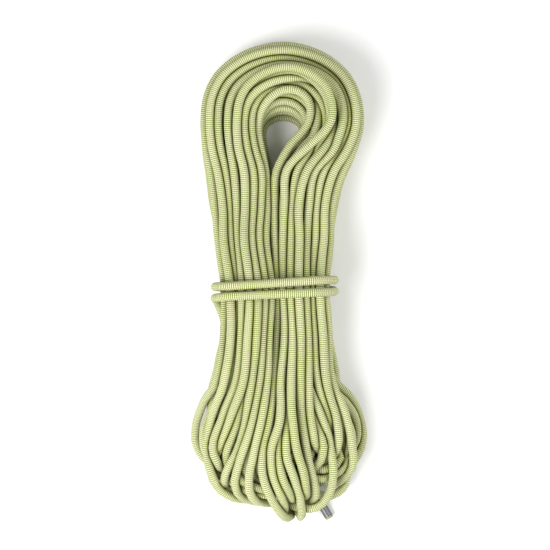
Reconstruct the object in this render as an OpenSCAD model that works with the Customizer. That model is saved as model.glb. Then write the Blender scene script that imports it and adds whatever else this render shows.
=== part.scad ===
// Dynamic climbing rope, flaked into a hank and tied round the waist with its own end.
// Frame: the hank lies on the plane z = 0, +Y runs from its foot to its head, +Z is up.
// The turns pass over the head side by side, and in the middle of the head is the eye.

/* [Rope] */
// Diameter over the sheath
rope_d = 9.8; // [9.6:0.1:9.9]
// Wall of the braided sheath
sheath_t = 1.1; // [0.9:0.05:1.3]
// Straight stretch at each rope end
end_l = 52; // [50:1:54]

/* [End sleeve and weld] */
// Length of the heat-shrunk sleeve
sleeve_l = 42; // [30:1:44]
// Wall of the sleeve
sleeve_t = 0.3; // [0.2:0.05:0.3]
// Bare rope that shows past the sleeve
bare_tip = 2; // [2:0.5:4]
// Thickness of the welded tip
weld_t = 1.2; // [0.8:0.1:1.8]

/* [Hank in plan] */
// Overall length, foot to head
hank_l = 560; // [550:1:570]
// Outer radius of the head
head_r = 94; // [88:1:98]
// Half width of the neck, below the eye
neck_half_w = 67; // [64:1:74]
// Half width at the waist
waist_half_w = 63; // [58:1:65]
// Half width of the ankle, above the loose bights
ankle_half_w = 66; // [62:1:74]
// Half width where the foot is widest
foot_half_w = 101; // [92:1:106]
// Radius of the eye
eye_r = 24; // [20:1:28]
// Length of the eye from its crown to its point
eye_l = 66; // [56:1:76]

/* [Hank from the side] */
// Height of the head above the surface
head_h = 78; // [72:1:84]
// Height of the waist above the surface
waist_h = 91; // [88:1:94]
// Height of the foot where it is widest
foot_h = 66; // [58:1:72]
// Height of the foot at its end
toe_h = 40; // [34:1:46]

/* [Waist wrap] */
// Number of turns round the waist
wrap_turns = 2; // [2:1:3]
// Tilt of the turns, in degrees
wrap_tilt = 3; // [0:0.5:4]
// Distance between the turns
wrap_pitch = 13; // [11:0.5:14]

/* [Hidden] */
$fn = 48;
rope_r = rope_d / 2;
core_r = rope_r - sheath_t;
fit_gap = 0.02;     // between pieces that are shrunk or braided onto each other
floor_gap = 0.1;    // under whatever lies beneath the hank
cut = 1;            // overshoot of a cut past a face

// The core: three strands in the middle and nine round them, with the tape outside them.
core_strands = 12;
inner_strands = 3;
outer_strands = core_strands - inner_strands;
tape_t = 0.12;
tape_angle = 32;
core_room = core_r - tape_t - 2 * fit_gap;
// Nine strands touch their neighbours on a circle that fills the room inside the tape.
strand_r = core_room * sin(180 / outer_strands) / (1 + sin(180 / outer_strands));
outer_pitch_r = core_room - strand_r;
inner_pitch_r = strand_r / sin(180 / inner_strands);

// Plan of the hank: the middle of its width at five stations along Y.
head_c = [5, hank_l / 2 - head_r];
neck_c = [-2, 90];
waist_c = [-6, -5];
ankle_c = [1, -115];
foot_c = [0, -180];
eye_c = [4, head_c[1] - 18];
toe_y = -hank_l / 2;
toe_flat = 16;      // half width of the blunt end of the foot
side_steps = 9;     // straight runs from one station to the next
toe_steps = 10;
head_steps = 32;

// The groove that the waist wrap lies in, and how far the hank swells beside it.
lip = 2;
groove_half_l = 20;
groove_corner_r = 26;
wrap_gap = 0.4;
wrap_y = -1;
wrap_low = rope_r + floor_gap;
groove_low = wrap_low + rope_r + wrap_gap;
groove_h = waist_h - groove_low;
wrap_half_w = waist_half_w + wrap_gap + rope_r;
wrap_high = waist_h + wrap_gap + rope_r;
wrap_corner_r = groove_corner_r + wrap_gap + rope_r;

// The rope ends: [tip, heading in plan, pitch]. End a shows at the foot, end b is tucked at the waist.
ends = [
    [[58.5, -277, rope_r + sleeve_t + floor_gap], -59, 0],
    [[-62, -94, 46], -87, 0]
];
function heading(n) = [cos(ends[n][1]), sin(ends[n][1]), 0];
function end_root(n) = ends[n][0] - end_l * heading(n);

// The stretch that leaves the last turn of the wrap on its left flank and bends down to end b.
tail_route = [[-74.5, -17.5, 66], [-74.2, -18.5, 59], [-72.5, -22, 52.5], [-70, -28, 47.8],
              [-67, -35, 46.2], end_root(1)];

rope_green = [0.72, 0.76, 0.45];
sleeve_grey = [0.30, 0.31, 0.32];
core_white = [0.93, 0.92, 0.88];
tape_blue = [0.25, 0.42, 0.70];
weld_green = [0.50, 0.56, 0.22];

function strand_name(i) = str("core_strand_", i < 10 ? "0" : "", i);

// Eases from a to b as t goes from 0 to 1, level at both ends.
function ease(a, b, t) = a + (b - a) * (1 - cos(180 * t)) / 2;

// One side of the plan outline, from the head's centre down to the toe; side is 1 or -1.
function flank(c0, w0, c1, w1, side) =
    [for (i = [0:side_steps - 1]) let (t = i / side_steps)
        [ease(c0[0], c1[0], t) + side * ease(w0, w1, t), c0[1] + (c1[1] - c0[1]) * t]];
function toe(side) =
    [for (i = [0:toe_steps]) let (a = 90 * i / toe_steps)
        [side * (toe_flat + (foot_half_w - toe_flat) * cos(a)),
         foot_c[1] + (toe_y - foot_c[1]) * sin(a)]];
function edge(side) =
    concat(flank(head_c, head_r, neck_c, neck_half_w, side),
           flank(neck_c, neck_half_w, waist_c, waist_half_w + lip, side),
           flank(waist_c, waist_half_w + lip, ankle_c, ankle_half_w, side),
           flank(ankle_c, ankle_half_w, foot_c, foot_half_w, side),
           toe(side));
function reversed(list) = [for (i = [len(list) - 1:-1:0]) list[i]];

function head_arc() =
    [for (i = [1:head_steps - 1]) let (a = 180 - 180 * i / head_steps)
        head_c + head_r * [cos(a), sin(a)]];

module plan_outline() polygon(concat(edge(1), reversed(edge(-1)), head_arc()));

// The eye is a teardrop: a circle and the two lines that touch it from its point.
module eye_outline() {
    reach = eye_l - eye_r;
    touch = asin(eye_r / reach);
    translate(eye_c) {
        circle(r = eye_r);
        polygon([[0, -reach],
                 [eye_r * cos(touch), -eye_r * sin(touch)],
                 [-eye_r * cos(touch), -eye_r * sin(touch)]]);
    }
}

// Side view, as [along Y, up]: level at the head, highest at the waist, low at the toe.
function back_line(y0, h0, y1, h1) =
    [for (i = [0:side_steps - 1]) let (t = i / side_steps) [y0 + (y1 - y0) * t, ease(h0, h1, t)]];
module side_outline() {
    shoulder_r = head_h / 3;
    toe_low = rope_d + 2 * floor_gap;
    toe_rise_y = -225;
    crown_y = hank_l / 2;
    polygon(concat(
        [[toe_y, toe_low], [toe_rise_y, 0], [crown_y, 0], [crown_y, head_h - shoulder_r]],
        [for (i = [1:4]) let (a = 90 * i / 5)
            [crown_y - shoulder_r * (1 - cos(a)), head_h - shoulder_r * (1 - sin(a))]],
        back_line(crown_y - shoulder_r, head_h, waist_c[1], waist_h),
        back_line(waist_c[1], waist_h, foot_c[1], foot_h),
        back_line(foot_c[1], foot_h, toe_y, toe_h),
        [[toe_y, toe_h]]
    ));
}

// Rectangle with round corners, centred.
module rounded(w, h, r) {
    for (sx = [-1, 1], sy = [-1, 1])
        translate([sx * (w / 2 - r), sy * (h / 2 - r)]) circle(r = r);
    square([w - 2 * r, h], center = true);
    square([w, h - 2 * r], center = true);
}

// Stands its 2-D children across the waist, square to the tilted turns.
module across_waist(y, half_l) {
    translate([waist_c[0], y, (groove_low + waist_h) / 2])
        rotate([0, 0, wrap_tilt])
            rotate([90, 0, 0])
                linear_extrude(2 * half_l, center = true) children();
}

module waist_groove() {
    across_waist(waist_c[1], groove_half_l) difference() {
        square([3 * waist_half_w, 2 * waist_h], center = true);
        rounded(2 * waist_half_w, groove_h, groove_corner_r);
    }
}

// Room for the rope ends. End a comes out of the back wall of a slot under the foot, and
// end b lies in a slot in the left flank, with the tail that comes down to it from the wrap.
module end_slots() {
    room = rope_r + 2;
    reach = 3 * rope_d;
    at_end(0) translate([-room, -room, 0]) cube([reach, 2 * room, 3 * end_l]);
    at_end(1) translate([-room, -reach, -reach]) cube([2 * room, reach + room, end_l + reach + room]);
}

module flaked_hank() {
    color(rope_green) difference() {
        intersection() {
            linear_extrude(2 * waist_h) plan_outline();
            translate([-2 * head_r, 0, 0]) rotate([90, 0, 90])
                linear_extrude(4 * head_r) side_outline();
        }
        translate([0, 0, -cut]) linear_extrude(2 * waist_h) eye_outline();
        waist_groove();
        end_slots();
    }
}

// One turn round the waist: four straight runs and four quarter bends.
module wrap_turn() {
    run_x = wrap_half_w - wrap_corner_r;
    run_z = (wrap_high - wrap_low) / 2 - wrap_corner_r;
    rotate([90, 0, 0]) {
        for (k = [0:3]) {
            sx = k == 0 || k == 3 ? 1 : -1;
            sz = k < 2 ? 1 : -1;
            translate([sx * run_x, sz * run_z, 0]) rotate([0, 0, 90 * k])
                rotate_extrude(angle = 90) translate([wrap_corner_r, 0]) circle(r = rope_r);
        }
        for (s = [-1, 1]) {
            translate([-run_x, s * (run_z + wrap_corner_r), 0])
                rotate([0, 90, 0]) cylinder(r = rope_r, h = 2 * run_x);
            translate([s * wrap_half_w, run_z, 0])
                rotate([90, 0, 0]) cylinder(r = rope_r, h = 2 * run_z);
        }
    }
}

module waist_wrap() {
    color(rope_green)
        for (i = [0:wrap_turns - 1])
            translate([waist_c[0], wrap_y - i * wrap_pitch, (wrap_low + wrap_high) / 2])
                rotate([0, 0, wrap_tilt]) wrap_turn();
}

// A tube of the rope's diameter swept along a route, its rings square to the route.
module rope_tube(route, sides = 12) {
    last = len(route) - 1;
    points = [for (k = [0:last])
        let (d = route[min(k + 1, last)] - route[max(k - 1, 0)], t = d / norm(d),
             n = cross(t, [0, 0, 1]), u = n / norm(n), v = cross(u, t))
        for (i = [0:sides - 1]) let (a = 360 * i / sides)
            route[k] + rope_r * (cos(a) * u + sin(a) * v)];
    walls = [for (k = [0:last - 1], i = [0:sides - 1])
        let (a = k * sides + i, b = k * sides + (i + 1) % sides)
        each [[a, a + sides, b + sides], [a, b + sides, b]]];
    start_cap = [for (i = [1:sides - 2]) [0, i, i + 1]];
    end_cap = [for (i = [1:sides - 2], e = last * sides) [e, e + i + 1, e + i]];
    polyhedron(points, concat(walls, start_cap, end_cap), convexity = 4);
}

module wrap_tail() color(rope_green) rope_tube(tail_route);

// Puts its children at a rope end, their +Z along the rope towards its tip.
module at_end(n) {
    translate(end_root(n))
        rotate([0, 90 - ends[n][2], ends[n][1]])
            children();
}

module tube(outer_r, inner_r, h) {
    difference() {
        cylinder(r = outer_r, h = h);
        translate([0, 0, -cut]) cylinder(r = inner_r, h = h + 2 * cut);
    }
}

module sheath_end(n)
    color(rope_green) at_end(n) tube(rope_r, core_r, end_l - weld_t);

module end_sleeve(n)
    color(sleeve_grey) at_end(n)
        translate([0, 0, end_l - bare_tip - sleeve_l])
            tube(rope_r + sleeve_t, rope_r + fit_gap, sleeve_l);

// The fused end: a disc with its rim melted round.
module welded_tip(n) {
    rim = 0.4;
    color(weld_green) at_end(n) translate([0, 0, end_l - weld_t]) {
        cylinder(r = rope_r, h = weld_t - rim);
        translate([0, 0, weld_t - rim]) cylinder(r1 = rope_r, r2 = rope_r - rim, h = rim);
    }
}

// A core strand runs through the whole rope; here it is its stretch at each rope end.
module core_strand(i) {
    is_inner = i <= inner_strands;
    pitch_r = is_inner ? inner_pitch_r : outer_pitch_r;
    angle = is_inner ? 360 * i / inner_strands : 360 * (i + 0.5) / outer_strands;
    color(core_white)
        for (n = [0, 1])
            at_end(n) rotate([0, 0, angle]) translate([pitch_r, 0, 0])
                cylinder(r = strand_r - fit_gap, h = end_l - weld_t);
}

// The marker tape lies between the core and the sheath, along the whole rope.
module id_tape() {
    color(tape_blue)
        for (n = [0, 1])
            at_end(n) rotate_extrude(angle = tape_angle)
                translate([core_r - fit_gap - tape_t, 0]) square([tape_t, end_l - weld_t]);
}

flaked_hank();
waist_wrap();
wrap_tail();
sheath_end(0);  // sheath_end_a
sheath_end(1);  // sheath_end_b
end_sleeve(0);  // end_sleeve_a
end_sleeve(1);  // end_sleeve_b
welded_tip(0);  // welded_tip_a
welded_tip(1);  // welded_tip_b
id_tape();
for (i = [1:core_strands])
    core_strand(i);
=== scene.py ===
"""Dynamic climbing rope, flaked into a hank and tied round the waist with its own end.

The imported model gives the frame, the rope ends and the room that the hank takes. This script lays one rope
in turns inside that room, lets the turns settle on each other, and sweeps a braided sheath along it.
"""

import math

import bpy
import numpy as np
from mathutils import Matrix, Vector


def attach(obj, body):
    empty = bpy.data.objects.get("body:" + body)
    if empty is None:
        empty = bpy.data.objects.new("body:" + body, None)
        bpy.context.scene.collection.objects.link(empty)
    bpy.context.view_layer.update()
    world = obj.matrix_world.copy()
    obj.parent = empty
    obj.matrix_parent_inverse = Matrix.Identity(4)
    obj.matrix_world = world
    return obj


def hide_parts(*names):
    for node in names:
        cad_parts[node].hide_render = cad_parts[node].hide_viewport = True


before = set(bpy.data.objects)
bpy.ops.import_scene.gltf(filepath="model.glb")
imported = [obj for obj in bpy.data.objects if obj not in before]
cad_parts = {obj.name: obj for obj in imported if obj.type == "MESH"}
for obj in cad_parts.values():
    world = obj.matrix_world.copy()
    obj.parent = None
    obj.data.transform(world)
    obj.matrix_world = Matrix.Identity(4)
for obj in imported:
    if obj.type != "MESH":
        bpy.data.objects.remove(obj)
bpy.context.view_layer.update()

MM = 0.001

# ---- the rope in metres, as in part.scad ------------------------------------------------
ROPE_D = 0.0098
ROPE_R = ROPE_D / 2
SHEATH_T = 0.0011
END_L = 0.052
WELD_T = 0.0012
# The two ends: the tip, and the heading in plan in degrees.
TIP_A = (0.0585, -0.277, 0.0053)
HEADING_A = -59
TIP_B = (-0.062, -0.094, 0.046)
HEADING_B = -87
# The stretch that leaves the last turn of the wrap and bends down to end b.
TAIL_ROUTE = [(-0.0745, -0.0175, 0.066), (-0.0742, -0.0185, 0.059), (-0.0725, -0.022, 0.0525),
              (-0.070, -0.028, 0.0478), (-0.067, -0.035, 0.0462)]

# ---- camera -----------------------------------------------------------------------------
VIEW_X, VIEW_Y = -0.0058, 0.0086
CAMERA_H = 2.05
FRAME_H = 0.05        # halfway up the hank
FRAME_W = 0.6325      # what the picture takes in at that height
SENSOR_W = 36         # mm


def make_camera():
    data = bpy.data.cameras.new("camera")
    data.sensor_width = SENSOR_W
    data.lens = SENSOR_W * (CAMERA_H - FRAME_H) / FRAME_W
    data.clip_start = 0.05
    camera = bpy.data.objects.new("camera", data)
    camera.location = (VIEW_X, VIEW_Y, CAMERA_H)
    bpy.context.scene.collection.objects.link(camera)
    bpy.context.scene.camera = camera


make_camera()

# ---- layout of the hank, in millimetres from here until it has settled --------------------
R = ROPE_R / MM
STEP = 8.0            # between points of the rope's middle line
SPACING = 9.4         # between strands that lie side by side
PRESSED = 9.2         # between strands that press on each other, because the sheath gives a little
COLUMNS = 8           # columns of strands in each leg, from its outer side to its inner one
INNER = COLUMNS - 1
LEFT, RIGHT = -1, 1
HIGH = [6, 7, 7, 7, 8, 7, 7, 6]       # strands in each column

# The legs at eight stations along Y: the x of the outer and inner columns, and how far the lowest strands
# are lifted off the floor.
STATION = [-115, -60, -5, 50, 90, 128, 155, 186]
LEFT_OUTER = [-69, -60, -61, -68, -73, -78, -82, -84]
LEFT_INNER = [-15, -13, -11, -15, -17, -19, -24, -27]
RIGHT_INNER = [-8, -5, -3, -6, -7, 1, 20, 33]
RIGHT_OUTER = [58, 53, 51, 56, 62, 71, 82, 89]
LIFT = [0, 3, 10, 3, 0, 0, 0, 0]
# The x of the uppermost strand of each column, one row for each station.
TOP_LEFT = [[-71, -64, -57, -50, -41, -33, -25, -16],
            [-62, -56, -49, -42, -35, -28, -20, -12],
            [-63, -56, -49, -42, -34, -27, -19, -11],
            [-72, -65, -57, -49, -41, -33, -25, -17],
            [-73, -65, -57, -49, -39, -31, -24, -17],
            [-79, -71, -62, -52, -41, -32, -24, -17],
            [-84, -77, -69, -58, -48, -39, -31, -24],
            [-86, -80, -71, -59, -49, -41, -34, -28]]
TOP_RIGHT = [[59, 53, 43, 33, 23, 12, 1, -9],
             [55, 48, 40, 32, 24, 15, 6, -4],
             [52, 45, 37, 29, 21, 13, 5, -3],
             [57, 49, 40, 31, 22, 13, 4, -6],
             [58, 50, 41, 32, 23, 14, 5, -6],
             [69, 60, 50, 40, 30, 20, 10, -3],
             [82, 75, 67, 58, 48, 38, 27, 10],
             [89, 84, 77, 69, 61, 53, 44, 34]]

# The head. The uppermost strands change places on their way over it, so each table has a value for each
# left column: the right column that it goes to, the x at which it passes beside and below the eye, the y of
# its crown, how far the crown leans to the right, and how far it rises over its layer from left to right.
RIGHT_COLUMN = [0, 1, 2, 3, 6, 4, 5, 7]
BESIDE_EYE = [89, 84, 78, 72, 59, 65, 46, 34]
BELOW_EYE = [82, 76, 69, 60, 35, 50, 39, 10]
CROWN = [270, 265, 257, 249, 244, 235, 226, 222]
CROWN_LEAN = [0, 0, 0, 0, 2, 3, 4, 6]
LEVEL = [0] * 11
RISE = [LEVEL, LEVEL, LEVEL, LEVEL,
        [0, 0, 0, 0, 0, 1, 3, 6, 8, 10, 11],
        [0, 0, 0, 0, 0, 0, -2, -5, -8, -9, -9],
        [0, 0, 0, 0, 0, 0, 0, -2, -4, -6, -6],
        [-3, 0, 3, 6, 8, 9, 9, 9, 9, 8, 7]]
# How far each column dips below its layer in the head, for the three uppermost layers.
DIP = [[0, 0, 0, 0, -1, -4, -9, -1],
       [0, 0, 0, 0, -1, -3, -6, -11],
       [0, 0, 0, 0, 0, -1, -3, -6]]
# The strands under the uppermost ones go over the head in even steps. Each step inwards has a part that all
# layers share and a part that grows with every layer down.
HEAD_X = 3.5
HEAD_R, HEAD_STEP, HEAD_STEP_MORE = 86, 7.6, 0.06
CROWN_Y, CROWN_STEP, CROWN_STEP_MORE = 272, 9.2, 0.28
HEAD_LOW_Y, HEAD_LOW_STEP = 186, 2.3
TOP_LOW_Y = 188       # where the uppermost strands begin their way over the head
SHOULDER = 0.05       # share by which the head is wider than an ellipse on its diagonals
# The dips and the innermost column's rise begin at this y, and are whole after these runs.
HEAD_Y = 100
DIP_RUN, RISE_RUN = 60, 50
RISE_BELOW = 0.8      # share of its rise that a strand keeps below the eye on the right
# Random shifts: of a strand between columns, of its crown along Y, and sideways on a leg and at the waist.
COLUMN_SHIFT = 0.1
CROWN_SHIFT = 1.5
LEG_SWAY = 2.0
WAIST_SWAY = 0.8
WAIST_SWAY_Y = 20     # the waist's sway holds up to this y

# The bights at the foot, as the plan of a front limb from the ankle to where it turns under. An arc goes on
# round in plan, a fold comes straight back beneath itself, and a wide fold comes back beside itself.
ARC, FOLD, WIDE = "arc", "fold", "wide"
UPPER_LEFT = [
    ([(-87, -140), (-98, -170), (-98, -188), (-83, -209)], ARC),
    ([(-79, -160), (-82, -187), (-70, -225), (-51, -245), (-36, -249)], ARC),
    ([(-74, -152), (-77, -181), (-76, -196)], FOLD),
    ([(-63, -150), (-74, -190), (-65, -215)], FOLD),
    ([(-53, -158), (-67, -198), (-70, -216), (-62, -238), (-43, -249)], ARC),
    ([(-37, -158), (-46, -193), (-57, -216), (-57, -230)], FOLD),
    ([(-33, -164), (-45, -204), (-48, -227), (-42, -242), (-25, -250)], ARC),
    ([(-21, -158), (-29, -193), (-34, -216), (-31, -233), (-18, -242)], ARC),
]
UPPER_RIGHT = [
    ([(74, -150), (80, -186), (77, -213), (63, -230)], ARC),
    ([(62, -152), (68, -180), (67, -194), (60, -206)], ARC),
    ([(49, -140), (54, -162), (54, -172)], FOLD),
    ([(35, -150), (41, -180), (43, -191)], FOLD),
    ([(24, -160), (32, -203), (39, -230), (41, -245), (36, -254), (27, -258)], ARC),
    ([(12, -156), (17, -187), (26, -218), (30, -246)], FOLD),
    ([(0, -158), (-9, -193), (-8, -216), (5, -250), (9, -259)], FOLD),
    ([(-14, -158), (-21, -193), (-21, -216), (-11, -244), (-1, -262), (4, -271)], WIDE),
]
NEXT_LEFT = [
    ([(-74, -150), (-77, -186), (-66, -210)], ARC),
    ([(-69, -150), (-74, -190), (-64, -224), (-44, -240)], ARC),
    ([(-62, -150), (-68, -188), (-62, -214)], FOLD),
    ([(-55, -150), (-60, -190), (-58, -218), (-44, -232)], ARC),
    ([(-46, -150), (-54, -190), (-52, -218), (-38, -238)], ARC),
    ([(-38, -150), (-43, -190), (-44, -216)], FOLD),
    ([(-28, -150), (-36, -190), (-36, -216), (-24, -234)], ARC),
    ([(-20, -150), (-23, -190), (-22, -222)], FOLD),
]
NEXT_RIGHT = [
    ([(80, -134), (93, -160), (96, -180), (90, -203), (79, -215)], ARC),
    ([(76, -140), (90, -166), (90, -186), (80, -200)], ARC),
    ([(66, -150), (76, -190), (78, -222), (73, -240), (58, -249)], ARC),
    ([(46, -150), (56, -186), (60, -216), (57, -241), (48, -256), (30, -264)], ARC),
    ([(26, -150), (31, -172), (36, -190)], FOLD),
    ([(10, -156), (4, -193), (13, -221), (21, -249), (25, -269)], FOLD),
    ([(0, -150), (-1, -190), (4, -228), (14, -248)], FOLD),
    ([(-12, -150), (-14, -190), (-8, -232)], FOLD),
]
# Deeper bights, one for each column: the x of the front limb at the hip, the x and y of the lowest point,
# and the half width.
DEEP_LEFT = [(-80, -52, -206, 28), (-74, -30, -232, 40), (-66, -40, -210, 28), (-58, -28, -226, 32),
             (-50, -26, -232, 26), (-42, -20, -218, 24), (-34, -12, -234, 24), (-24, -2, -222, 22)]
DEEP_RIGHT = [(82, 52, -214, 30), (74, 44, -230, 30), (66, 38, -240, 28), (56, 36, -224, 26),
              (40, 16, -222, 24), (24, 4, -240, 22), (14, -8, -230, 22), (4, -18, -222, 22)]
HIP_Y = -190
KNEE_Y = -152
ANKLE_Y = -115
KNEE_SHARE = 0.65     # how far the knee has come from the ankle's x to the hip's
# The last point before the lowest one, in half widths outwards and up.
TURN_OUT, TURN_UP = 0.8, 0.38
# Random shifts of the hip's x and of the lowest point's x and y.
HIP_SHIFT = (-3, 3)
LOW_X_SHIFT = (-7, 7)
LOW_Y_SHIFT = (-4, 10)
# The foot's upper side along its middle line, and its half width there.
CREST_Y = [-285, -270, -250, -215, -180, -150, -115]
CREST_Z = [24, 34, 42, 52, 59, 64, 70]
CREST_HALF_W = 108
CREST_LEAST = 0.04    # keeps the upper side from falling to the floor at its edges
CREST_LOW = 2         # how far off the floor every front limb stays
CREST_LAYER = 8.0     # how much lower each layer under the upper side lies
# Heights of the limbs beneath: how far they lie off the floor, and what each layer above and an odd column
# add to that. A front limb is at least so much higher than its own limb beneath.
BACK_LOW, BACK_LAYER, BACK_ODD = 0.5, 5.0, 3.0
FRONT_OVER_BACK = 9
# Past its lowest point an arc goes on by these steps in x and y. A fold comes back by its length, a little
# aside and a little lifted. It has one more point on top where its front limb runs steeply down the foot.
ARC_NEXT, ARC_LAST = (17, 2), (30, 18)
FOLD_BACK, FOLD_LIFT, FOLD_STEEP = 22, 1.5, 14
FOLD_ASIDE, WIDE_ASIDE = -5, 11
BACK_LONG_Y = -150    # a limb beneath that begins below this y has one more point on its way up

# The waist wrap: a rectangle with round corners, and the y of the rope after some numbers of turns.
WAIST_X = -6
WRAP_HALF_W = 68.3
WRAP_LOW, WRAP_HIGH = 5.0, 96.3
WRAP_CORNER_R = 31.3
WRAP_TURN = [0, 0.37, 0.63, 1.0, 1.37, 1.63, 1.70]
WRAP_Y = [3, 2.9, -4, -7.5, -10.7, -15.5, -17.5]
WRAP_END = 1.69
WRAP_POINTS = 61
CORNER_STEP = 6       # degrees from point to point round its corners
# The waist's own section, which the wrap squeezes: the y of its middle, how that y grows with x, its half
# length along Y, and the box round the strands.
SQUEEZE_Y, SQUEEZE_TILT, SQUEEZE_L = -7.5, 0.04, 15
WAIST_HALF_W = 63
WAIST_LOW, WAIST_HIGH = 10.3, 91
WAIST_CORNER_R = 26

# The stretch of each leg from below the waist to where the head begins.
LEG_Y = [-60, -5, 50, 90, 128, 155]

# The rope's beginning: a straight run behind end a, then up under the foot to the first turn. And its last
# stretch before the wrap: down the right leg and under the waist.
RUN_A = 25
TO_FIRST_TURN = [(8, -192, R + 3), (-4, -168, R + 10)]
LAST_LEG_Y = [155, 128, 90]
TO_WRAP = [(-12, 66, 6), (-26, 45, 6), (-33, 26, 5.5), (-27, 11, 5)]

rng = np.random.default_rng(7)


def mix(a, b, share):
    """The value that lies this share of the way from a to b."""
    return a + (b - a) * share


def heading(degrees):
    """The level direction at this angle from +X."""
    return np.array([math.cos(math.radians(degrees)), math.sin(math.radians(degrees)), 0])


def layers_above(column, layer):
    return HIGH[column] - 1 - layer


def packed(column, layer):
    """How many layers up a strand lies: the odd columns lie half a layer higher."""
    return layer + column % 2 / 2


def leg_point(side, column, layer, y):
    """Where a strand of a leg lies at this y; column may lie between two whole ones."""
    whole = int(round(column))
    above = layers_above(whole, layer)
    if side == LEFT:
        outer, inner, top = LEFT_OUTER, LEFT_INNER, TOP_LEFT
    else:
        outer, inner, top = RIGHT_OUTER, RIGHT_INNER, TOP_RIGHT
    outer = np.interp(y, STATION, outer)
    inner = np.interp(y, STATION, inner)
    x = mix(outer, inner, column / INNER)
    if above < 2:
        top_x = np.interp(y, STATION, [row[whole] for row in top])
        x = top_x if above == 0 else mix(top_x, x, 0.5)
    pitch = abs(inner - outer) / INNER
    rise = max(SPACING, 2 * math.sqrt(max(SPACING ** 2 - pitch ** 2, 0)))
    z = R + np.interp(y, STATION, LIFT) + packed(whole, layer) * rise
    if y > HEAD_Y and above < len(DIP):
        z += DIP[above][whole] * min((y - HEAD_Y) / DIP_RUN, 1)
    if y > HEAD_Y and side == RIGHT and whole == INNER and above == 0:
        z += RISE[INNER][-1] * min((y - HEAD_Y) / RISE_RUN, 1)
    return [x, y, z]


def slot_on(side, column, layer):
    """Column and layer on this side of the strand that has this column and layer on the left."""
    if side == LEFT or layers_above(column, layer) > 0:
        return column, layer
    moved = RIGHT_COLUMN[column]
    return moved, HIGH[moved] - 1


def leg_points(side, column, layer, shift):
    """Up a leg from below the waist to where the head begins; column and layer are those on the left."""
    here, here_layer = slot_on(side, column, layer)
    points = [leg_point(side, here + shift, here_layer, y) for y in LEG_Y]
    if layers_above(column, layer) == 0:
        for point in points:
            sway = WAIST_SWAY if abs(point[1]) < WAIST_SWAY_Y else LEG_SWAY
            point[0] += sway * rng.uniform(-1, 1)
        if side == RIGHT:
            points[-1][0] = BELOW_EYE[column]
            if column < INNER:
                points[-1][2] += RISE_BELOW * RISE[column][-1]
    return points


def head_points(column, layer):
    """Over the head from the left side to the right."""
    above = layers_above(column, layer)
    radius = HEAD_R - column * (HEAD_STEP + HEAD_STEP_MORE * above)
    left, right = HEAD_X - radius, HEAD_X + radius
    crown = CROWN_Y - column * (CROWN_STEP + CROWN_STEP_MORE * above) + CROWN_SHIFT * rng.uniform(-1, 1)
    lean = 0
    if above < 2:
        share = 1.0 if above == 0 else 0.5
        beside = BESIDE_EYE[column] if above == 0 else TOP_RIGHT[-1][column]
        left = mix(left, TOP_LEFT[-1][column], share)
        right = mix(right, beside, share)
        crown = mix(crown, CROWN[column], share)
        lean = share * CROWN_LEAN[column]
    low_y = TOP_LOW_Y if above == 0 else HEAD_LOW_Y - HEAD_LOW_STEP * column
    rise = RISE[column] if above == 0 else LEVEL
    z = R + packed(column, layer) * SPACING
    if above < len(DIP):
        z += DIP[above][column]
    points = []
    for k, lift in enumerate(rise):
        a = math.pi * (1 - k / (len(rise) - 1))
        shoulder = 1 + SHOULDER * math.sin(2 * a) ** 2
        x = mix(left, right, 0.5) + (right - left) / 2 * math.cos(a) * shoulder + lean * math.sin(a)
        points.append([x, low_y + (crown - low_y) * math.sin(a), z + lift])
    return points


def upper_side(x, y, above):
    """Height of a strand that has this many strands above it at the foot."""
    bulge = math.sqrt(max(1 - (x / CREST_HALF_W) ** 2, CREST_LEAST))
    return max(np.interp(y, CREST_Y, CREST_Z) * bulge - CREST_LAYER * above, R + CREST_LOW)


def bight_plan(side, column, above, front):
    """The plan of a bight's front limb, and how it turns under."""
    if above < 2:
        upper, following = (UPPER_LEFT, NEXT_LEFT) if side == LEFT else (UPPER_RIGHT, NEXT_RIGHT)
        return (upper if above == 0 else following)[column]
    hip_x, low_x, low_y, half_w = (DEEP_LEFT if side == LEFT else DEEP_RIGHT)[column]
    hip_x += rng.uniform(*HIP_SHIFT)
    low_x += rng.uniform(*LOW_X_SHIFT)
    low_y += rng.uniform(*LOW_Y_SHIFT)
    knee = (mix(front[0], hip_x, KNEE_SHARE), KNEE_Y)
    turn = (low_x + side * TURN_OUT * half_w, low_y + TURN_UP * half_w)
    return [knee, (hip_x, HIP_Y), turn, (low_x, low_y)], ARC


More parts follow.
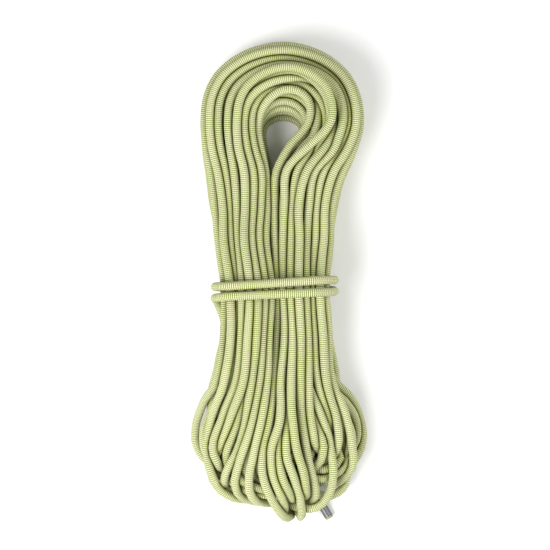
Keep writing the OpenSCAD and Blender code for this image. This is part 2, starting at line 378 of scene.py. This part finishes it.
def bight(side, column, layer, front, back):
    """From the ankle of a front limb, round its bight, to the ankle of the limb beneath."""
    above = layers_above(column, layer)
    low = R + BACK_LOW + BACK_LAYER * above + BACK_ODD * (column % 2)
    plan, kind = bight_plan(side, column, above, front)
    heights = [max(upper_side(x, y, above), low + FRONT_OVER_BACK) for x, y in plan]
    points = [front] + [[x, y, z] for (x, y), z in zip(plan[:-1], heights)]
    x, y = plan[-1]
    top = heights[-1]
    # The shares of a mix with low say how far each point is on its way down to the limb beneath.
    if kind == ARC:
        points[-1][2] = mix(points[-1][2], low, 0.15)
        bottom = mix(top, low, 0.45)
        points += [[x, y, bottom],
                   [x - side * ARC_NEXT[0], y + ARC_NEXT[1], mix(bottom, low, 0.85)]]
        x, y = x - side * ARC_LAST[0], y + ARC_LAST[1]
    else:
        run = np.array(plan[-2]) - plan[-1]
        aside = side * (WIDE_ASIDE if kind == WIDE else FOLD_ASIDE)
        back_x, back_y = FOLD_BACK * run / np.linalg.norm(run)
        if abs(run[1]) > FOLD_STEEP:
            points.append([x + 0.3 * back_x, y + 0.3 * back_y, top])
        points += [[x + 0.2 * aside, y, mix(top, low, 0.3)],
                   [x + 0.7 * aside, y, mix(top, low, 0.7)],
                   [x + 0.35 * back_x + aside, y + 0.35 * back_y, low + FOLD_LIFT]]
        x, y = x + back_x + aside, y + back_y
    points.append([x, y, low])
    if y < BACK_LONG_Y:
        points.append([mix(x, back[0], 0.5), mix(y, ANKLE_Y, 0.5), mix(low, back[2], 0.35)])
    points.append(back)
    return points


def turns_in_order():
    """Column and layer of each turn. A high turn and a low one follow each other by turns."""
    high, low = [], []
    for k in range(max(HIGH)):
        columns = range(COLUMNS) if k % 2 == 0 else reversed(range(COLUMNS))
        for column in columns:
            half = HIGH[column] // 2
            if k < HIGH[column] - half:
                high.append((column, HIGH[column] - 1 - k))
            if k < half:
                low.append((column, k))
    first, last = low.index((0, 0)), low.index((INNER, 0))
    low[first], low[last] = low[last], low[first]
    order = high[len(low):]
    for k in reversed(range(len(low))):
        order += [high[k], low[k]]
    return order


def foot_points(side, here, there):
    """From the ankle of one turn to the ankle of the next one on the same leg."""
    here = slot_on(side, *here)
    there = slot_on(side, *there)
    start = leg_point(side, *here, ANKLE_Y)
    end = leg_point(side, *there, ANKLE_Y)
    if start[2] > end[2]:
        return bight(side, *here, start, end)
    return bight(side, *there, end, start)[::-1]


def wrap_points():
    """Round the waist from the middle of the underside towards +X."""
    run_x = WRAP_HALF_W - WRAP_CORNER_R
    run_z = (WRAP_HIGH - WRAP_LOW) / 2 - WRAP_CORNER_R
    ring = [(0, -run_z - WRAP_CORNER_R)]
    for k, (sx, sz) in enumerate([(1, -1), (1, 1), (-1, 1), (-1, -1)]):
        for t in range(-90, 1, CORNER_STEP):
            a = math.radians(90 * k + t)
            x = sx * run_x + WRAP_CORNER_R * math.cos(a)
            z = sz * run_z + WRAP_CORNER_R * math.sin(a)
            ring.append((x, z))
    ring.append(ring[0])
    ring = np.array(ring)
    along = distances(ring)
    points = []
    for turn in np.linspace(0, WRAP_END, WRAP_POINTS):
        at = (turn % 1) * along[-1]
        x = WAIST_X + np.interp(at, along, ring[:, 0])
        z = (WRAP_LOW + WRAP_HIGH) / 2 + np.interp(at, along, ring[:, 1])
        points.append([x, np.interp(turn, WRAP_TURN, WRAP_Y), z])
    return points


def distances(line):
    """How far along a line each of its points is."""
    return np.concatenate([[0], np.cumsum(np.linalg.norm(np.diff(line, axis=0), axis=1))])


def resampled(line, step):
    """The line with even distances of about a step between its points."""
    along = distances(line)
    even = np.linspace(0, along[-1], int(round(along[-1] / step)) + 1)
    return np.stack([np.interp(even, along, line[:, axis]) for axis in range(3)], 1)


def smooth_curve(points, step):
    """A cubic curve through the points, with a point every step."""
    p = np.array(points, float)
    d = np.maximum(np.linalg.norm(np.diff(p, axis=0), axis=1), 1e-6)
    t = np.concatenate([[0], np.cumsum(d)])
    slope = (p[1:] - p[:-1]) / d[:, None]
    tangent = np.concatenate([slope[:1], slope[1:], slope[-1:]])
    before, after = d[:-1, None], d[1:, None]
    tangent[1:-1] = (slope[1:] * before + slope[:-1] * after) / (before + after)
    fine = np.linspace(0, t[-1], int(t[-1]) + 2)
    k = np.clip(np.searchsorted(t, fine, side="right") - 1, 0, len(d) - 1)
    span = d[k][:, None]
    u = (fine[:, None] - t[k][:, None]) / span
    curve = ((2 * u ** 3 - 3 * u ** 2 + 1) * p[k] + (u ** 3 - 2 * u ** 2 + u) * span * tangent[k]
             + (3 * u ** 2 - 2 * u ** 3) * p[k + 1] + (u ** 3 - u ** 2) * span * tangent[k + 1])
    return resampled(curve, step)


def laid_rope():
    """The whole rope before it settles, from the tip of end a to the tip of end b."""
    head_a, head_b = heading(HEADING_A), heading(HEADING_B)
    tip_a, tip_b = np.array(TIP_A) / MM, np.array(TIP_B) / MM
    root_a = tip_a - END_L / MM * head_a
    root_b = tip_b - END_L / MM * head_b
    order = turns_in_order()
    points = [tip_a, mix(root_a, tip_a, 0.5), root_a, root_a - RUN_A * head_a]
    points += TO_FIRST_TURN
    points.append(leg_point(LEFT, *order[0], ANKLE_Y))
    side = LEFT
    for turn, following in zip(order, order[1:] + [None]):
        shift = rng.uniform(-COLUMN_SHIFT, COLUMN_SHIFT, 2)
        over = head_points(*turn)
        points += leg_points(side, *turn, shift[0])
        points += over if side == LEFT else over[::-1]
        side = -side
        if following:
            points += leg_points(side, *turn, shift[1])[::-1]
            points += foot_points(side, turn, following)
    points += [leg_point(side, *order[-1], y) for y in LAST_LEG_Y]
    points += TO_WRAP
    points += wrap_points()
    points += [np.array(point) / MM for point in TAIL_ROUTE]
    points += [root_b, mix(root_b, tip_b, 0.5), tip_b]
    return smooth_curve(points, STEP)


# ---- settling ---------------------------------------------------------------------------
ROUNDS = 600
SEARCH_EVERY = 6      # rounds from one search for near pairs to the next
HELD_START = 75       # the rope is held still from end a to here
HELD_END = 782        # and from this far before end b, which is the wrap and its tail
NEIGHBOUR_GAP = 3     # points along the rope that can't touch each other
REACH = 1.35 * 2 * R  # how near two points must be to be looked at
CROWD_POWER = 0.4     # the pushes on a point are divided by the number of its contacts to this power
PUSH = 0.8            # share of an overlap that is undone in one go
PUSHES = 2            # in each round
# In each round a point sinks, and goes back in plan by a share of its way from where it was laid. Both have
# a value for the first round, and an amount by which they have fallen in the last one.
SINK, SINK_FALL = 0.08, 0.06
HOLD, HOLD_FALL = 0.16, 0.14
# The way of each point is smoothed along the rope, in more passes while the settling is early.
SMOOTHING = 0.5
EARLY = 0.4
EARLY_PASSES, LATE_PASSES = 3, 1


def near_pairs(points, reach, skip):
    """Pairs of points nearer to each other than reach, and more than skip apart along the rope.

    The points are sorted into cubes as wide as reach. The points of a cube are compared with each other and
    with those of the neighbouring cubes that come after it.
    """
    cell = np.floor((points - points.min(0)) / reach).astype(np.int64) + 1
    rows = cell[:, 1].max() + 2
    levels = cell[:, 2].max() + 2
    key = (cell[:, 0] * rows + cell[:, 1]) * levels + cell[:, 2]
    order = np.argsort(key, kind="stable")
    sorted_key = key[order]
    firsts, seconds = [], []
    around = [(dx, dy, dz) for dx in (-1, 0, 1) for dy in (-1, 0, 1) for dz in (-1, 0, 1)]
    for dx, dy, dz in around:
        offset = (dx * rows + dy) * levels + dz
        if offset < 0:
            continue
        start = np.searchsorted(sorted_key, key + offset, "left")
        count = np.searchsorted(sorted_key, key + offset, "right") - start
        first = np.repeat(np.arange(len(points)), count)
        begin = np.repeat(start - np.cumsum(count) + count, count)
        second = order[begin + np.arange(len(first))]
        keep = np.abs(first - second) > skip
        if offset == 0:
            keep &= first < second
        first, second = first[keep], second[keep]
        near = ((points[first] - points[second]) ** 2).sum(1) < reach ** 2
        firsts.append(first[near])
        seconds.append(second[near])
    return np.concatenate(firsts), np.concatenate(seconds)


def push_apart(points, first, second, free, tangent):
    """How far each point moves so that strands are no nearer than when pressed.

    Each point stands for a straight stretch, half a step to either side. The nearest places on the two
    stretches of a pair are found by turns: on the first one, on the second one and once more on the first.
    """
    half = STEP / 2
    apart = points[first] - points[second]
    along_first, along_second = tangent[first], tangent[second]
    a = np.clip(-(apart * along_first).sum(1), -half, half)
    apart = apart + a[:, None] * along_first
    b = np.clip((apart * along_second).sum(1), -half, half)
    apart = apart - b[:, None] * along_second
    a = np.clip(-(apart * along_first).sum(1), -half - a, half - a)
    apart = apart + a[:, None] * along_first
    gap = np.linalg.norm(apart, axis=1)
    hit = gap < PRESSED
    first, second, apart = first[hit], second[hit], apart[hit]
    gap = np.maximum(gap[hit], 1e-6)
    push = ((PRESSED - gap) / gap)[:, None] * apart
    both = np.maximum(free[first] + free[second], 1e-9)
    number = len(points)
    contacts = np.bincount(first, minlength=number) + np.bincount(second, minlength=number)
    move = np.zeros_like(points)
    for axis in range(3):
        move[:, axis] = (np.bincount(first, push[:, axis] * free[first] / both, number)
                         - np.bincount(second, push[:, axis] * free[second] / both, number))
    return PUSH * move / (np.maximum(contacts, 1) ** CROWD_POWER)[:, None]


def squeeze_waist(points, free):
    """Keeps the strands at the waist inside its section with round corners."""
    y = SQUEEZE_Y + SQUEEZE_TILT * (points[:, 0] - WAIST_X)
    inside = (np.abs(points[:, 1] - y) < SQUEEZE_L) & (free > 0)
    corner = WAIST_CORNER_R - R
    half = np.array([WAIST_HALF_W - R, (WAIST_HIGH - WAIST_LOW) / 2 - R])
    middle = np.array([WAIST_X, (WAIST_HIGH + WAIST_LOW) / 2])
    across = np.clip(points[inside][:, [0, 2]] - middle, -half, half)
    past = np.maximum(np.abs(across) - (half - corner), 0)
    far = np.linalg.norm(past, axis=1)
    shrink = np.where(far > corner, corner / np.maximum(far, 1e-9), 1)
    kept = np.sign(across) * (np.minimum(np.abs(across), half - corner) + past * shrink[:, None])
    points[np.ix_(inside, [0, 2])] = middle + kept


def settled(laid):
    """The laid rope after its weight has pressed the strands onto each other and the floor."""
    along = np.arange(len(laid)) * STEP
    free = ((along > HELD_START) & (along < along[-1] - HELD_END)).astype(float)
    points = laid.copy()
    for k in range(ROUNDS):
        late = k / ROUNDS
        if k % SEARCH_EVERY == 0:
            first, second = near_pairs(points, REACH, NEIGHBOUR_GAP)
        tangent = np.gradient(points, axis=0)
        tangent /= np.linalg.norm(tangent, axis=1)[:, None]
        points[:, 2] -= (SINK - SINK_FALL * late) * free
        moved = points - laid
        for _ in range(EARLY_PASSES if late < EARLY else LATE_PASSES):
            bend = (moved[:-2] + moved[2:]) / 2 - moved[1:-1]
            moved[1:-1] += SMOOTHING * bend * free[1:-1, None]
        moved[:, :2] *= (1 - (HOLD - HOLD_FALL * late) * free)[:, None]
        points = laid + moved
        for _ in range(PUSHES):
            points += push_apart(points, first, second, free, tangent)
        points[:, 2] = np.where(free > 0, np.maximum(points[:, 2], R), points[:, 2])
        squeeze_waist(points, free)
    return points


rope_line = settled(laid_rope()) * MM

# ---- the sheath -------------------------------------------------------------------------
SIDES = 12
INNER_RINGS = 5
PRESS_REACH = 1.4 * ROPE_D
PRESS_DEPTH = 0.0045  # the gap to the next strand at which the sheath is out of its shade
CUT_GAP = 0.002       # points nearer than this to a welded tip are left out


def frames(line):
    """Unit tangents and two normals at each point, carried along without twist."""
    tangent = np.gradient(line, axis=0)
    tangent /= np.linalg.norm(tangent, axis=1)[:, None]
    normal = np.cross(tangent[0], (0, 0, 1))
    normals = []
    for along in tangent:
        normal = normal - along * (normal @ along)
        normal /= np.linalg.norm(normal)
        normals.append(normal)
    normals = np.array(normals)
    return tangent, normals, np.cross(tangent, normals)


def ring_points(centres, normals, binormals, radius):
    """Rings of SIDES points; the result has the shape rings, SIDES, 3."""
    angle = np.arange(SIDES) * 2 * math.pi / SIDES
    around = (np.cos(angle)[None, :, None] * normals[:, None, :]
              + np.sin(angle)[None, :, None] * binormals[:, None, :])
    return centres[:, None, :] + radius * around


def ring_quads(first, rings):
    """Quads between consecutive rings of SIDES points that start at vertex first."""
    i = np.arange(SIDES)
    j = (i + 1) % SIDES
    k = first + SIDES * np.arange(rings - 1)[:, None]
    return np.stack([k + i, k + j, k + SIDES + j, k + SIDES + i], -1).reshape(-1, 4)


def contact_shade(line, tangent, rings):
    """Mask of the painted shade: 0 where the sheath is free, 1 where it presses on another stretch of the
    rope.
    """
    half = STEP * MM / 2
    first, second = near_pairs(line, PRESS_REACH, NEIGHBOUR_GAP)
    nearest = np.full(rings.shape[:2], PRESS_REACH)
    for here, there in ((first, second), (second, first)):
        apart = rings[here] - line[there][:, None, :]
        axis = tangent[there][:, None, :]
        along = np.clip((apart * axis).sum(2), -half, half)
        gap = np.linalg.norm(apart - along[:, :, None] * axis, axis=2)
        np.minimum.at(nearest, here, gap)
    return 1 - np.clip((nearest - ROPE_R) / PRESS_DEPTH, 0, 1)


def hollow_end(line, along, frame_there, at_start, first):
    """Inner wall of the sheath at one end: its points, its quads and the cap at its bottom."""
    tangent, normal, binormal = frame_there
    depth = np.linspace(0, END_L - WELD_T, INNER_RINGS)
    s = depth if at_start else along[-1] - depth
    centres = np.stack([np.interp(s, along, line[:, axis]) for axis in range(3)], 1)
    normals = np.repeat(normal[None], INNER_RINGS, 0)
    binormals = np.repeat(binormal[None], INNER_RINGS, 0)
    points = ring_points(centres, normals, binormals, ROPE_R - SHEATH_T)
    quads = ring_quads(first, INNER_RINGS)
    bottom = list(range(first + (INNER_RINGS - 1) * SIDES, first + INNER_RINGS * SIDES))
    outer_ring = 0 if at_start else (len(line) - 1) * SIDES
    i = np.arange(SIDES)
    j = (i + 1) % SIDES
    rim = np.stack([outer_ring + i, first + i, first + j, outer_ring + j], -1)
    if at_start:
        quads = quads[:, ::-1]
    else:
        rim = rim[:, ::-1]
        bottom = bottom[::-1]
    return points, np.concatenate([quads, rim]), bottom


def rope_mesh(line):
    """The sheath as one tube. At both ends it is hollow, for the core strands and the tape."""
    tangent, normal, binormal = frames(line)
    along = distances(line)
    rings = len(line)
    outer = ring_points(line, normal, binormal, ROPE_R)
    points = [outer.reshape(-1, 3)]
    quads = [ring_quads(0, rings)]
    caps = []
    total = rings * SIDES
    for end in (0, -1):
        frame_there = (tangent[end], normal[end], binormal[end])
        wall, wall_quads, bottom = hollow_end(line, along, frame_there, end == 0, total)
        points.append(wall.reshape(-1, 3))
        quads.append(wall_quads)
        caps.append(bottom)
        total += INNER_RINGS * SIDES
    points = np.concatenate(points)
    mesh = bpy.data.meshes.new("rope")
    mesh.from_pydata(points.tolist(), [], np.concatenate(quads).tolist() + caps)
    mesh.polygons.foreach_set("use_smooth", np.ones(len(mesh.polygons), bool))

    # u goes once round the rope, v is metres along it
    outer_loops = (rings - 1) * SIDES * 4
    side = np.arange(SIDES)
    uv = np.zeros((len(mesh.loops), 2), np.float32)
    around = np.stack([side, side + 1, side + 1, side], -1) / SIDES
    uv[:outer_loops, 0] = np.tile(around, (rings - 1, 1)).ravel()
    ends = np.stack([along[:-1], along[:-1], along[1:], along[1:]], -1)
    uv[:outer_loops, 1] = np.repeat(ends, SIDES, 0).ravel()
    mesh.uv_layers.new(name="around_and_along").data.foreach_set("uv", uv.ravel())

    # The mask of the shade painted into the sheath's colour near other strands, kept for each point.
    pressed = np.zeros(len(points), np.float32)
    pressed[:rings * SIDES] = contact_shade(line, tangent, outer).ravel()
    mesh.attributes.new("contact_shade", "FLOAT", "POINT").data.foreach_set("value", pressed)
    rope = bpy.data.objects.new("rope", mesh)
    bpy.context.scene.collection.objects.link(rope)
    return rope


def without_welds(line):
    """The line without the welded tips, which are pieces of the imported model."""
    along = distances(line)
    inside = (along > WELD_T + CUT_GAP) & (along < along[-1] - WELD_T - CUT_GAP)
    cuts = [WELD_T, along[-1] - WELD_T]
    first, last = np.stack([np.interp(cuts, along, line[:, axis]) for axis in range(3)], 1)
    return np.concatenate([[first], line[inside], [last]])


sheath_line = without_welds(rope_line)
rope = rope_mesh(sheath_line)
core_strands = [name for name in sorted(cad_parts) if name.startswith("core_strand_")]
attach(rope, "root")
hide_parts("flaked_hank", "waist_wrap", "wrap_tail", "sheath_end_a", "sheath_end_b")


# ---- materials --------------------------------------------------------------------------
class Graph:
    """A node tree with short calls for the nodes that the materials use."""

    def __init__(self, name):
        self.material = bpy.data.materials.new(name)
        self.material.use_nodes = True
        self.tree = self.material.node_tree
        self.shader = self.tree.nodes["Principled BSDF"]

    def node(self, kind, **settings):
        made = self.tree.nodes.new(kind)
        for key, value in settings.items():
            setattr(made, key, value)
        return made

    def put(self, value, socket):
        if isinstance(value, bpy.types.NodeSocket):
            self.tree.links.new(value, socket)
        else:
            socket.default_value = value

    def math(self, operation, *values):
        made = self.node("ShaderNodeMath", operation=operation)
        for value, socket in zip(values, made.inputs):
            self.put(value, socket)
        return made.outputs[0]

    def add(self, a, b):
        return self.math("ADD", a, b)

    def minus(self, a, b):
        return self.math("SUBTRACT", a, b)

    def times(self, a, b):
        return self.math("MULTIPLY", a, b)

    def mix(self, factor, a, b):
        made = self.node("ShaderNodeMix", data_type="RGBA")
        self.put(factor, made.inputs[0])
        self.put(a, made.inputs[6])
        self.put(b, made.inputs[7])
        return made.outputs[2]

    def noise(self, vector, scale, detail=2.0):
        made = self.node("ShaderNodeTexNoise")
        self.put(vector, made.inputs["Vector"])
        made.inputs["Scale"].default_value = scale
        made.inputs["Detail"].default_value = detail
        return made.outputs[0]

    def ramp(self, value, low, high, out_low=0.0, out_high=1.0):
        made = self.node("ShaderNodeMapRange", interpolation_type="SMOOTHSTEP")
        for number, socket in zip((value, low, high, out_low, out_high), made.inputs):
            self.put(number, socket)
        return made.outputs[0]

    def combine(self, x, y):
        made = self.node("ShaderNodeCombineXYZ")
        self.put(x, made.inputs[0])
        self.put(y, made.inputs[1])
        return made.outputs[0]

    def uv(self):
        made = self.node("ShaderNodeSeparateXYZ")
        self.put(self.node("ShaderNodeTexCoord").outputs["UV"], made.inputs[0])
        return made.outputs[0], made.outputs[1]

    def place(self):
        return self.node("ShaderNodeTexCoord").outputs["Object"]

    def finish(self, color, roughness, height=None, distance=0.0002, strength=1.0, **sockets):
        self.put(color, self.shader.inputs["Base Color"])
        self.put(roughness, self.shader.inputs["Roughness"])
        for name, value in sockets.items():
            self.shader.inputs[name.replace("_", " ")].default_value = value
        if height is not None:
            bump = self.node("ShaderNodeBump")
            bump.inputs["Strength"].default_value = strength
            bump.inputs["Distance"].default_value = distance
            self.put(height, bump.inputs["Height"])
            self.put(bump.outputs[0], self.shader.inputs["Normal"])
        return self.material


def linear(r, g, b):
    """A linear colour from sRGB values of 0 to 255."""
    def one(x):
        x /= 255
        return x / 12.92 if x <= 0.04045 else ((x + 0.055) / 1.055) ** 2.4
    return (one(r), one(g), one(b), 1.0)


YARNS_ROUND = 14      # yarns of each colour round the rope
PICK = 0.0022         # length of sheath in which every yarn shows once
YARN_HALF_W, YARN_HALF_L = 0.62, 0.40     # in yarn spacings round, and in picks along
YARN_SLANT = 0.35
DRIFTS_PER_M = 5      # the share of green that shows drifts along the rope
DRIFT = 0.16          # by this much of a yarn's height
GREEN = linear(102, 121, 0), linear(125, 139, 12)
PALE = linear(202, 202, 160), linear(228, 226, 198)
GROOVE_SHADE = linear(66, 68, 4)                # painted shade between yarns
NEAR_STRAND_SHADE = linear(116, 118, 8)                # painted shade where the next strand is near
SHADE = linear(44, 43, 0)                 # darker painted shade where it touches
GROOVE_SHADE_SHARE, NEAR_STRAND_SHADE_SHARE = 0.55, 0.7      # how much of these two painted shades shows at most
FIBRE_H = 0.12        # of a yarn's height


def sheath_material():
    """A plain braid: rows of green yarns and rows of pale ones, half a yarn apart."""
    g = Graph("rope_sheath")
    u, v = g.uv()
    across = g.times(u, YARNS_ROUND)
    along = g.math("DIVIDE", v, PICK)

    def yarns(shift, slant):
        """Height of one colour's yarns: an ellipse round each place where they are on top."""
        y = g.minus(g.math("FRACT", g.add(along, shift)), 0.5)
        x = g.minus(g.math("FRACT", g.add(g.add(across, shift), g.times(y, slant))), 0.5)
        xx = g.math("POWER", g.math("DIVIDE", x, YARN_HALF_W), 2.0)
        yy = g.math("POWER", g.math("DIVIDE", y, YARN_HALF_L), 2.0)
        return g.minus(1.0, g.add(xx, yy))

    green, pale = yarns(0.0, YARN_SLANT), yarns(0.5, -YARN_SLANT)
    drift = g.noise(g.combine(0.0, g.times(v, DRIFTS_PER_M)), 1.0)
    greener = g.ramp(drift, 0.35, 0.65, -DRIFT, DRIFT)
    is_green = g.ramp(g.add(g.minus(green, pale), greener), -0.12, 0.3)
    height = g.math("MAXIMUM", green, pale)
    tint = g.noise(g.combine(g.times(u, 2.0), g.times(v, 9.0)), 1.0, 3.0)
    speck = g.noise(g.combine(across, along), 2.1)
    green_yarn = g.mix(g.ramp(tint, 0.3, 0.7), *GREEN)
    pale_yarn = g.mix(g.ramp(speck, 0.3, 0.7), *PALE)
    color = g.mix(is_green, pale_yarn, green_yarn)
    # Painted shade in the grooves between yarns.
    groove_shade_mask = g.minus(1.0, g.ramp(height, -0.25, 0.35))
    color = g.mix(g.times(groove_shade_mask, GROOVE_SHADE_SHARE), color, GROOVE_SHADE)
    # Painted shade: the colour goes olive where another strand is near, and dark where it touches.
    contact_shade_mask = g.node("ShaderNodeAttribute", attribute_name="contact_shade").outputs["Fac"]
    color = g.mix(g.ramp(contact_shade_mask, 0.0, 1.0, out_high=NEAR_STRAND_SHADE_SHARE), color, NEAR_STRAND_SHADE)
    color = g.mix(g.ramp(contact_shade_mask, 0.6, 1.0), color, SHADE)
    fibres = g.noise(g.combine(g.times(across, 9.0), g.times(along, 1.5)), 1.0)
    height = g.add(g.ramp(height, -0.3, 1.0), g.times(fibres, FIBRE_H))
    return g.finish(color, 0.62, height, distance=0.00035, strength=0.8,
                    Sheen_Weight=0.0, Specular_IOR_Level=0.1)


def strand_material():
    """Twisted undyed yarn."""
    g = Graph("core_strand")
    place = g.place()
    wave = g.node("ShaderNodeTexWave", wave_type="BANDS", bands_direction="DIAGONAL")
    g.put(place, wave.inputs["Vector"])
    wave.inputs["Scale"].default_value = 300
    wave.inputs["Distortion"].default_value = 1.5
    twist = wave.outputs[1]
    color = g.mix(twist, linear(212, 208, 194), linear(240, 238, 228))
    height = g.add(twist, g.times(g.noise(place, 2500), 0.3))
    return g.finish(color, 0.7, height, distance=0.0001, Sheen_Weight=0.2)


def sleeve_material():
    """Grey film shrunk onto the sheath, with the braid pressed through it."""
    g = Graph("end_sleeve")
    ripple = g.noise(g.place(), 420)
    cloud = g.noise(g.place(), 60)
    color = g.mix(g.ramp(cloud, 0.35, 0.65), linear(60, 64, 65), linear(88, 92, 91))
    return g.finish(color, g.ramp(cloud, 0.3, 0.7, 0.24, 0.36), ripple, distance=0.00015, strength=0.6,
                    Coat_Weight=0.6, Coat_Roughness=0.12)


def tip_material():
    """Sheath and core melted together."""
    g = Graph("welded_tip")
    blobs = g.noise(g.place(), 700, 3.0)
    color = g.mix(g.ramp(blobs, 0.35, 0.65), linear(84, 94, 16), linear(130, 138, 52))
    return g.finish(color, g.ramp(blobs, 0.3, 0.7, 0.22, 0.42), blobs, strength=0.7)


def tape_material():
    g = Graph("id_tape")
    crease = g.noise(g.place(), 900)
    color = g.mix(crease, linear(70, 104, 160), linear(104, 138, 190))
    return g.finish(color, 0.3, crease, distance=0.00005, strength=0.4)


def floor_material():
    g = Graph("floor")
    grain = g.noise(g.place(), 350, 3.0)
    color = g.mix(grain, linear(243, 243, 243), linear(247, 247, 247))
    return g.finish(color, 0.8)


def give(names, material):
    for name in names:
        data = bpy.data.objects[name].data
        data.materials.clear()
        data.materials.append(material)


give(["rope"], sheath_material())
give(core_strands, strand_material())
give(["end_sleeve_a", "end_sleeve_b"], sleeve_material())
give(["welded_tip_a", "welded_tip_b"], tip_material())
give(["id_tape"], tape_material())


# ---- floor and light --------------------------------------------------------------------
FLOOR_HALF_W = 3.0


def make_floor():
    corners = [(sx * FLOOR_HALF_W, sy * FLOOR_HALF_W, 0) for sx, sy in ((-1, -1), (1, -1), (1, 1), (-1, 1))]
    mesh = bpy.data.meshes.new("floor")
    mesh.from_pydata(corners, [], [(0, 1, 2, 3)])
    mesh.materials.append(floor_material())
    floor = bpy.data.objects.new("floor", mesh)
    bpy.context.scene.collection.objects.link(floor)


def soft_box(name, elevation, azimuth, distance, width, power):
    """A round studio soft box that faces the hank; its azimuth is counted from +X, in degrees."""
    data = bpy.data.lights.new(name, "AREA")
    data.shape = "DISK"
    data.size = width
    data.energy = power
    light = bpy.data.objects.new(name, data)
    toward = Vector(heading(azimuth)) * math.cos(math.radians(elevation))
    toward.z = math.sin(math.radians(elevation))
    light.rotation_euler = (-toward).to_track_quat("-Z", "Y").to_euler()
    light.location = toward * distance
    bpy.context.scene.collection.objects.link(light)


def make_world(strength):
    world = bpy.data.worlds.new("studio")
    world.use_nodes = True
    background = world.node_tree.nodes["Background"]
    background.inputs[0].default_value = (1.0, 1.0, 1.0, 1.0)
    background.inputs[1].default_value = strength
    bpy.context.scene.world = world


make_floor()
soft_box("key", elevation=50, azimuth=215, distance=1.9, width=1.4, power=43)
soft_box("fill", elevation=46, azimuth=5, distance=2.5, width=2.2, power=39)
make_world(strength=0.40)
bpy.context.scene.view_settings.view_transform = "Standard"
